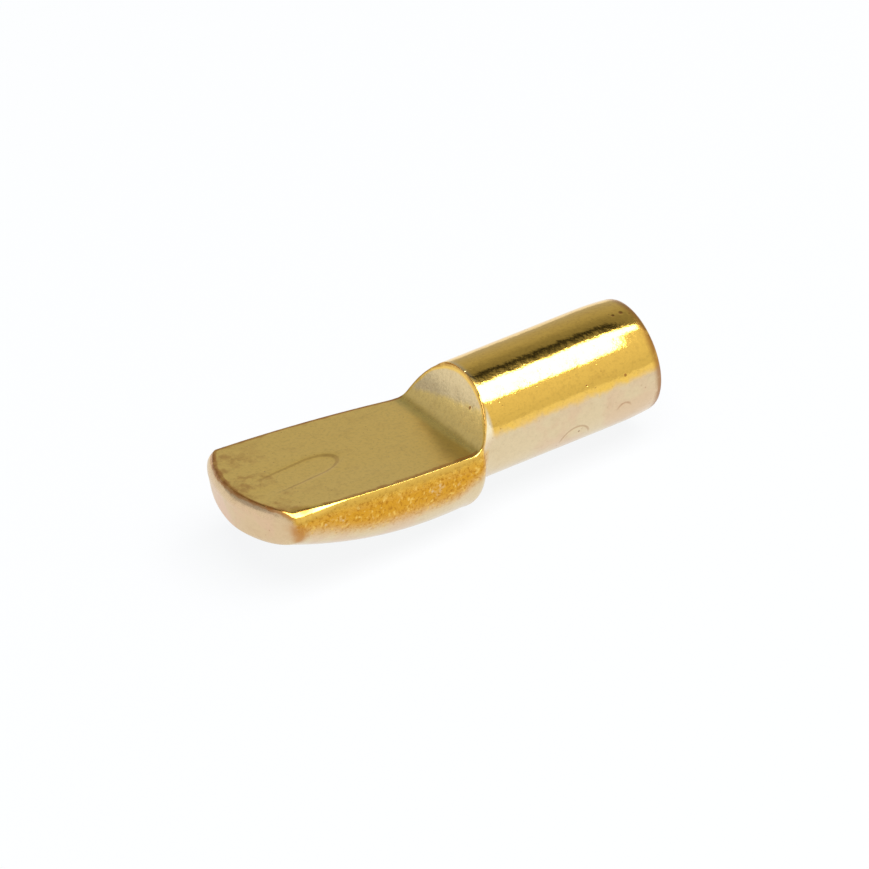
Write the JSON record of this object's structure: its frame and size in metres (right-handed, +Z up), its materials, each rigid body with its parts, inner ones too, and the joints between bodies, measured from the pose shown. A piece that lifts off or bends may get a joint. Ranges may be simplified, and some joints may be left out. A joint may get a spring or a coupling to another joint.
{
  "type": "shelf support pin",
  "caption": "Spoon-shaped shelf support: a round pin that plugs into a drilled hole and a flat, thin-fronted spoon that the shelf rests on.",
  "frame": {"origin": "on the pin's axis, where the panel's face meets the back of the spoon's heel", "axes": "+X along the pin towards its free end, +Z up, from the pin's axis towards the side that carries the shelf, +Y across the spoon"},
  "size_m": [0.0194, 0.0068, 0.0057],
  "materials": {
    "plated_metal": "bright brass plate over pressed metal, a little pitted, with brown tarnish along the edges"
  },
  "bodies": {
    "root": {"support_pin": "plated_metal"}
  },
  "joints": []
}
